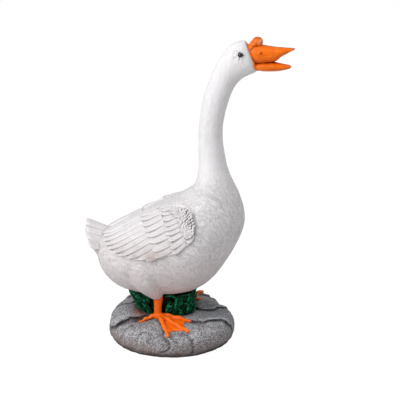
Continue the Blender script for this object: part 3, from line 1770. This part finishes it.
@dataclass
class Wing:
    """One folded wing: a raised pad, overlapping rows of carved feathers, and chips at the shoulder."""

    finishes: Finishes
    side: Side
    body: GooseBody
    length: float = 150 * MM
    depth: float = 90 * MM
    seat: float = 0.215
    shoulder_seat: float = 0.2
    tilt: float = math.radians(18)
    lift: float = 1.8 * MM
    step: float = 4.6 * MM
    overlap: float = 1.1
    root: float = 6 * MM
    # The share of the depth from which the wing follows the body over its back.
    crest: float = 0.88
    shaft: float = 0.35 * MM
    # The share of the depth below which earth colours the feathers.
    earthy: float = 0.36
    chip: Vector = millimetres(7.4, 3.7, 4.2)
    chip_scatter: float = 0.8 * MM
    chip_lines: int = 5
    chips_along: int = 21
    # Share of the length from the shoulder, with the low and high edge in the depth, in percent.
    outline: Rows = (
        (0, 56, 62),
        (2, 46, 73),
        (7, 31, 88),
        (16, 19, 97),
        (27, 11, 98),
        (43, 7, 94),
        (60, 1, 83),
        (75, 6, 69),
        (87, 11, 56),
        (97, 27, 40),
    )
    # The lines that the chips lie between, from the top of the wing round its front.
    behind: Rows = ((41, 92), (31, 86), (21, 79), (16, 67), (13, 54), (9, 41))
    front: Rows = ((35, 91), (23, 91), (11, 89), (3, 79), (1, 61), (3, 44))
    # Count, then the lines that the tips and the roots lie on, from the flight feathers to the shoulder.
    feather_rows: Sequence[tuple[int, Rows, Rows]] = (
        (10, ((100, 43), (95, 24), (78, 8), (50, 3)), ((60, 82), (55, 60), (44, 40), (35, 18))),
        (8, ((62, 77), (56, 56), (48, 36), (41, 9)), ((39, 92), (36, 74), (28, 51), (23, 26))),
        (9, ((40, 88), (33, 64), (29, 44), (23, 15)), ((25, 93), (19, 76), (14, 57), (11, 34))),
        (7, ((27, 84), (20, 70), (15, 52), (9, 34)), ((17, 90), (11, 79), (8, 64), (4, 47))),
    )

    def __post_init__(self) -> None:
        """Sets the wing's own directions and its shoulder."""
        hand = self.side.value
        self.out = Vector((0, hand * math.cos(self.tilt), math.sin(self.tilt)))
        self.up = Vector((0, -hand * math.sin(self.tilt), math.cos(self.tilt)))
        foot = Vector((self.shoulder_seat * self.body.size.x, 0, self.body.belly))
        self.shoulder = foot + self.up * self.seat * self.body.size.z
        self.unit = Vector((-self.length, self.depth)) / 100

    def laid(self, bed: BVHTree, place: Vector, lift: float) -> Vector:
        """A point of the wing's flat plan laid on the body and lifted off it.

        Args:
            bed: The body's surface.
            place: The point of the plan.
            lift: How far off the body it lies.

        Returns:
            The point.
        """
        level = min(place.y, self.crest * self.depth)
        flat = self.shoulder + Vector((place.x, 0, 0)) + self.up * level
        hit, normal = bed.ray_cast(flat + self.out * self.body.size.y, -self.out)[:2]
        if hit is None:
            hit, normal = bed.find_nearest(flat + self.out * self.body.size.y / 4)[:2]
        if place.y > level:
            climb = normal.cross(Vector((-1, 0, 0)) * self.side.value).normalized()
            hit, normal = bed.find_nearest(hit + climb * (place.y - level))[:2]
        return hit + (normal + self.out).normalized() * lift

    def pad(self, bed: BVHTree) -> Thing:
        """The raised ground of the wing.

        Args:
            bed: The body's surface.

        Returns:
            The pad.
        """
        made = slab("pad", 34, 18)
        rows = [Vector(row) for row in self.outline]

        def seat(place: Vector) -> Vector:
            """A point of the slab within the wing's outline."""
            reach, low, high = along(rows, place.x)
            spot = Vector((reach, low + (high - low) * place.y)) * self.unit
            return self.laid(bed, spot, self.lift if place.z > 0.5 else -self.root)

        reshape(made, seat)
        return made

    def feather(self, bed: BVHTree, master: Thing, root: Vector, tip: Vector, half: float) -> Thing:
        """One feather between two places of the plan, proud at its lower edge and its tip.

        Args:
            bed: The body's surface.
            master: The slab to copy.
            root: The root's place.
            tip: The tip's place.
            half: Half its width.

        Returns:
            The feather.
        """
        made = copy_of(master, "feather")
        down = Vector((root.y - tip.y, tip.x - root.x)).normalized()

        def seat(place: Vector) -> Vector:
            """A point of the slab on the feather, u along it and v across it to its lower edge."""
            u, v = place.x, place.y
            taper = math.sqrt(max(0.04, 1 - past(u, 0.68)**2))
            bow = down * half * 0.22 * math.sin(math.pi * u)
            spot = root.lerp(tip, u) + down * half * taper * (2 * v - 1) + bow
            edge = 1 - 0.4 * past(v, 0.84)**2 - 0.35 * past(u, 0.93)**2
            shaft = self.shaft * math.exp(-((v - 0.45) / 0.09)**2) * (1 - u)
            proud = self.lift + self.step * (0.3 + 0.7 * u) * (0.12 + 0.88 * v) * edge + shaft
            return self.laid(bed, spot, proud if place.z > 0.5 else -self.root)

        reshape(made, seat)
        return made

    def feathers(self, bed: BVHTree) -> list[Thing]:
        """All rows of feathers, from the flight feathers to the shoulder.

        Args:
            bed: The body's surface.

        Returns:
            The feathers.
        """
        master, made = slab("feather", 16, 11), []
        for count, tips, roots in self.feather_rows:
            tip_line, root_line = ([Vector(p) * self.unit for p in line] for line in (tips, roots))
            spacing = sum((b - a).length for a, b in zip(tip_line, tip_line[1:])) / (count - 1)
            for i in range(count):
                t = i / (count - 1)
                half = spacing * self.overlap / 2
                made.append(self.feather(bed, master, along(root_line, t), along(tip_line, t), half))
        remove(master)
        return made

    def chips(self, bed: BVHTree) -> list[Thing]:
        """Small comma-shaped chips between the last row of feathers and the front of the wing.

        Args:
            bed: The body's surface.

        Returns:
            The chips.
        """
        shuffle = random.Random(SEED + self.side.value)
        master = rounded("chip", Vector(), Vector((1, 1, 1)), segments=10)
        reshape(master, lambda p: Vector((p.x, p.y * (1.0 - 0.9 * p.x) + 0.5 * p.x * p.x, p.z)))
        behind, front = ([Vector(p) * self.unit for p in line] for line in (self.behind, self.front))
        made = []
        for line in range(self.chip_lines):
            share = (line + 0.1) / self.chip_lines
            count = self.chips_along - line
            for i in range(count):
                place = along(behind, (i + 0.5) / count).lerp(along(front, (i + 0.5) / count), share)
                place += Vector((shuffle.uniform(-1, 1), shuffle.uniform(-1, 1))) * self.chip_scatter
                lean = Vector((-0.75 + 0.5 * i / count + shuffle.uniform(-0.35, 0.35),
                               -0.45 - 0.9 * i / count + shuffle.uniform(-0.35, 0.35)))
                middle = self.laid(bed, place, self.lift + self.step * 0.42)
                ahead = self.laid(bed, place + lean * self.chip.x * 0.5, self.lift + self.step * 0.6)
                under = self.laid(bed, place, 0)
                chip = copy_of(master, "chip")
                size = self.chip * shuffle.uniform(0.8, 1.15)
                turn = turned_to(ahead - middle, middle - under).to_4x4()
                chip.data.transform(Matrix.Translation(middle) @ turn @ Matrix.Diagonal((*size, 1)))
                made.append(chip)
        remove(master)
        return made

    def build(self, bed: BVHTree) -> Thing:
        """Models the wing on the body's bed.

        Args:
            bed: The body's surface.

        Returns:
            The piece.
        """
        chips = join("chips", self.chips(bed))
        mark(chips, "chipped", np.ones(len(chips.data.vertices)))
        made = join("wing", [self.pad(bed), *self.feathers(bed), chips])
        high = (vertex_data(made) - np.array(self.shoulder)) @ np.array(self.up) / self.depth
        mark(made, "low_edge", np.clip(1 - high / self.earthy, 0, 1))
        return dress(made, f"wing_{self.side.label}", self.finishes.feathers, 50)


@dataclass
class TailFan:
    """The roof-shaped fan of feathers on the tail's wedge."""

    finishes: Finishes
    body: GooseBody
    count: int = 8
    width: float = 16 * MM
    thickness: float = 6.6 * MM
    shaft: float = 1.1 * MM

    def feather(self, master: Thing, quill: Vector, tip: Vector, up: Vector) -> Thing:
        """One feather from its quill to its rounded tip, with a shaft down its middle.

        Args:
            master: The slab to copy.
            quill: Its root.
            tip: Its tip.
            up: Where its crown points.

        Returns:
            The feather.
        """
        made = copy_of(master, "tail_feather")
        turn = turned_to(tip - quill, up)
        reach = (tip - quill).length * 1.04

        def seat(place: Vector) -> Vector:
            """A point of the slab on the feather, u along it and v across it from -1 to 1."""
            u, v = place.x, 2 * place.y - 1
            wide = 0.62 + 0.38 * math.sin(min(1, u * 1.5) * math.pi / 2)
            taper = wide * math.sqrt(max(0.03, 1 - past(u, 0.8)**2))
            crown = (1 - v * v) * self.thickness / 2
            shaft = self.shaft * math.exp(-(v / 0.14)**2)
            level = crown + shaft if place.z > 0.5 else -self.thickness / 2
            return quill + turn @ Vector((u * reach, v * taper * self.width / 2, level * (1 - 0.3 * u)))

        reshape(made, seat)
        return made

    def build(self) -> Thing:
        """Models the fan.

        Returns:
            The piece.
        """
        root, size, made = self.body.tail_origin, self.body.tail_size, []
        master = slab("tail_feather", 16, 13)
        for i in range(self.count):
            side = 2 * i / (self.count - 1) - 1
            drop = abs(side)**1.3
            quill = root + share_of((-0.1, 0.28 * side, 0.42 - 0.09 * drop), *size)
            tip = root + share_of((0.2 * drop - 1.0, 0.5 * side, 0.5 - 0.12 * drop), *size)
            made.append(self.feather(master, quill, tip, Vector((-0.2, side * 0.9, 1))))
        remove(master)
        return dress(join("tail", made), "tail_feathers", self.finishes.feathers, 50)


@dataclass
class GrassTuft:
    """The clump of grass that carries the belly: a dark core wrapped in curling blades."""

    finishes: Finishes
    legs: Sequence[Leg]
    length: float = 88 * MM
    width: float = 62 * MM
    setback: float = 7 * MM
    lean: float = 7 * MM
    foot: float = 30 * MM
    top: float = 78 * MM
    flare: float = 1.24
    blades: int = 380
    blade_length: float = 30 * MM
    blade_radius: float = 1.75 * MM
    blade_steps: int = 7
    # How deep the blades are set in the core, and how square the clump is in plan.
    blade_seat: float = 0.6 * MM
    squareness: float = 0.7
    # The core's and the blades' reach in shares of length and width, at the foot and at the top.
    core_reach: tuple[float, float] = (0.34, 0.40)
    blade_reach: tuple[float, float] = (0.35, 0.41)
    furrows: int = 24
    furrow_depth: float = 0.04

    def core(self) -> Thing:
        """The dark body of the clump, narrow at the foot, with furrowed sides.

        Returns:
            The core.
        """
        activate()
        low, high = self.core_reach
        bpy.ops.mesh.primitive_cone_add(vertices=72, radius1=low, radius2=high * self.flare, depth=1)
        made = settled("core")
        with editing(made):
            bpy.ops.mesh.subdivide(number_cuts=3)

        def seat(place: Vector) -> Vector:
            """A point of a cone of height 1 on the furrowed core."""
            furrow = 1 + self.furrow_depth * math.sin(math.atan2(place.y, place.x) * self.furrows)
            share = place.z + 0.5
            return Vector((place.x * self.length * furrow - self.setback - self.lean * share,
                           place.y * self.width * furrow, self.foot + share * (self.top - self.foot)))

        reshape(made, seat)
        mark(made, "blade_shade", np.zeros(len(made.data.vertices)))
        return made

    def master(self) -> Thing:
        """A straight blade along X from 0 to 1, five-sided and pointed, of unit radius.

        Returns:
            The blade.
        """
        activate()
        bpy.ops.mesh.primitive_circle_add(vertices=5, radius=1, fill_type="NGON",
                                          rotation=(0, math.pi / 2, 0))
        made = settled("blade")
        with editing(made):
            last, step = 1.0, 1 / self.blade_steps
            for k in range(1, self.blade_steps + 1):
                here = k / self.blade_steps
                slim = max(0.12, 1 - here**2.2 * 0.9)
                bpy.ops.mesh.extrude_region_move(TRANSFORM_OT_translate={"value": (step, 0, 0)})
                bpy.ops.transform.resize(value=(1, slim / last, slim / last), center_override=(here, 0, 0))
                last = slim
            face_out()
        return made

    def on_core(self, turn: float, share: float, off: float) -> Vector:
        """A point beside the core: a turn round it, a share of its height and a distance off it.

        Args:
            turn: The turn, in radians.
            share: The share of the height.
            off: The distance off the core.

        Returns:
            The point.
        """
        low, high = self.blade_reach
        radius = low + (high * self.flare - low) * share
        boxy = (math.copysign(abs(f(turn))**self.squareness, f(turn)) for f in (math.cos, math.sin))
        rim = share_of((*boxy, 0), self.length * radius, self.width * radius, 0)
        away = Vector((rim.x / self.length, rim.y / self.width, 0)).normalized()
        height = self.foot + share * (self.top - self.foot)
        return Vector((-self.setback - self.lean * share, 0, height)) + rim + away * off

    def blade(self, master: Thing, shuffle: random.Random, index: int) -> Thing:
        """One blade rooted somewhere up the clump's side and curling out of it.

        Args:
            master: The straight blade.
            shuffle: The clump's random draws.
            index: Its number, which sets where it stands.

        Returns:
            The blade.
        """
        turn = 2 * math.pi * index * GOLDEN
        start = shuffle.uniform(-0.1, 0.75)
        sweep = shuffle.uniform(0.15, 0.5) * shuffle.choice((-1, 1))
        climb = shuffle.uniform(0.75, 1.15) * self.blade_length / (self.top - self.foot)
        stand, curl = shuffle.uniform(1.5, 6) * MM * (1 + abs(math.cos(turn))**3), shuffle.uniform(1.7, 2.5)
        spine, last = [], self.blade_steps
        for t in (k / last for k in range(last + 1)):
            share = min(1.0, start + climb * math.sin(t * curl) * 0.7)
            off = stand * math.sin(0.4 + 1.9 * t) - self.blade_seat
            spine.append(self.on_core(turn + sweep * t * t, share, off))
        made = copy_of(master, "blade")
        width = self.blade_radius * shuffle.uniform(0.8, 1.3)

        def seat(place: Vector) -> Vector:
            """A point of the straight blade on the curling one."""
            i = min(last, max(0, round(place.x * last)))
            ahead = (spine[min(last, i + 1)] - spine[max(0, i - 1)]).normalized()
            side = ahead.cross(Vector((0.1, 0.2, 1))).normalized()
            return spine[i] + (side * place.y + side.cross(ahead) * place.z) * width

        reshape(made, seat)
        shade = shuffle.choice((0.1, 0.45, 1.0)) * shuffle.uniform(0.7, 1)
        mark(made, "blade_shade", np.full(len(made.data.vertices), shade))
        return made

    def clear_of_legs(self, blade: Thing) -> bool:
        """Whether a blade keeps off the legs, so that it doesn't cross them in front.

        Args:
            blade: The blade.

        Returns:
            Whether it stays.
        """
        for leg in self.legs:
            ankle = Vector((-leg.setback, leg.side.value * leg.spread))
            if any((v.co.to_2d() - ankle).length < leg.ankle_radius for v in blade.data.vertices):
                return False
        return True

    def build(self) -> Thing:
        """Models the clump.

        Returns:
            The piece.
        """
        shuffle, master, made = random.Random(SEED), self.master(), [self.core()]
        for i in range(self.blades):
            blade = self.blade(master, shuffle, i)
            if self.clear_of_legs(blade):
                made.append(blade)
            else:
                remove(blade)
        remove(master)
        return dress(join("grass", made), "grass_tuft", self.finishes.grass, 80)


@dataclass
class Studio:
    """A plain pale floor, soft studio light and the camera of the photograph."""

    eye: tuple[float, float, float] = (0.2251, -1.7119, 0.7514)
    target: tuple[float, float, float] = (0.0452, 0, 0.2252)
    lens: float = 104.6
    sensor: float = 36
    ambient: float = 0.38
    floor_size: float = 12
    floor_colour: Colour = (0.68, 0.68, 0.68, 1)
    # The floor's own white, and the share of it that the camera sees in place of its shaded colour.
    floor_glow: float = 1.13
    floor_white: float = 0.84
    # Name, place, size and power of each lamp, all aimed at the goose.
    lamps: Sequence[tuple[str, tuple[float, float, float], float, float]] = (
        ("key", (-1.6, -1.25, 1.75), 1.2, 34.0),
        ("glint", (-0.6, -1.6, 1.1), 0.25, 5.5),
        ("top", (-0.25, -0.75, 2.2), 1.4, 12.0),
        ("rim", (1.6, 0.9, 0.9), 0.8, 7.0),
    )

    def build(self) -> None:
        """Sets the scene."""
        self.floor()
        self.world()
        for name, place, size, power in self.lamps:
            bpy.ops.object.light_add(type="AREA", location=place)
            lamp = bpy.context.object
            lamp.name, lamp.data.size, lamp.data.energy = name, size, power
            self.aim(lamp)
        bpy.ops.object.camera_add(location=self.eye)
        camera = bpy.context.object
        camera.data.lens, camera.data.sensor_width = self.lens, self.sensor
        self.aim(camera)
        bpy.context.scene.camera = camera
        bpy.context.scene.view_settings.view_transform = "Standard"

    def aim(self, thing: Thing) -> None:
        """Turns a lamp or the camera to the goose."""
        toward = Vector(self.target) - thing.location
        thing.rotation_euler = toward.to_track_quat("-Z", "Y").to_euler()

    def floor(self) -> None:
        """The floor, white to the camera but for a trace of the shadow that falls on it."""
        activate()
        bpy.ops.mesh.primitive_plane_add(size=self.floor_size)
        floor = settled("floor")
        paint = bpy.data.materials.new("pale_floor")
        paint.use_nodes = True
        graph, shader = Graph(paint.node_tree), paint.node_tree.nodes["Principled BSDF"]
        shader.inputs["Base Color"].default_value = self.floor_colour
        shader.inputs["Roughness"].default_value = 0.9
        white = graph.add("Emission", {"Color": (1, 1, 1, 1), "Strength": self.floor_glow}).outputs[0]
        seen = graph.math("MULTIPLY", graph.add("LightPath").outputs["Is Camera Ray"], self.floor_white)
        mixed = graph.add("MixShader", {0: seen, 1: shader.outputs[0], 2: white}).outputs[0]
        graph.tree.links.new(mixed, paint.node_tree.nodes["Material Output"].inputs["Surface"])
        floor.data.materials.append(paint)

    def world(self) -> None:
        """White where the camera sees it, and a soft fill for everything else."""
        world = bpy.data.worlds.new("studio")
        bpy.context.scene.world = world
        world.use_nodes = True
        graph = Graph(world.node_tree)
        rays = graph.add("LightPath").outputs
        strength = graph.add("MapRange", {"Value": rays["Is Camera Ray"], "To Min": self.ambient,
                                          "To Max": 1.0}).outputs[0]
        backdrop = world.node_tree.nodes["Background"]
        backdrop.inputs["Color"].default_value = (1, 1, 1, 1)
        graph.tree.links.new(strength, backdrop.inputs["Strength"])


def main() -> None:
    """Builds the statue piece by piece, and the studio round it."""
    logging.basicConfig(level=logging.INFO, format="%(message)s")
    finishes = Finishes()
    rock = RockBase(finishes).build()
    ground = surface_of(rock)
    body = GooseBody(finishes)
    legs = [Leg(finishes, side, setback, body.belly) for side, setback in zip(Side, LEG_SETBACKS)]
    skin, bed = body.build({leg.side: leg.ankle(ground) for leg in legs})
    for leg in legs:
        leg.build(ground)
    Beak(finishes, body.head_origin).build()
    for side in Side:
        Eye(finishes, body.head_origin, side).build(surface_of(skin))
        Wing(finishes, side, body).build(bed)
    TailFan(finishes, body).build()
    GrassTuft(finishes, legs).build()
    Studio().build()
    activate()


if __name__ == "__main__":
    main()
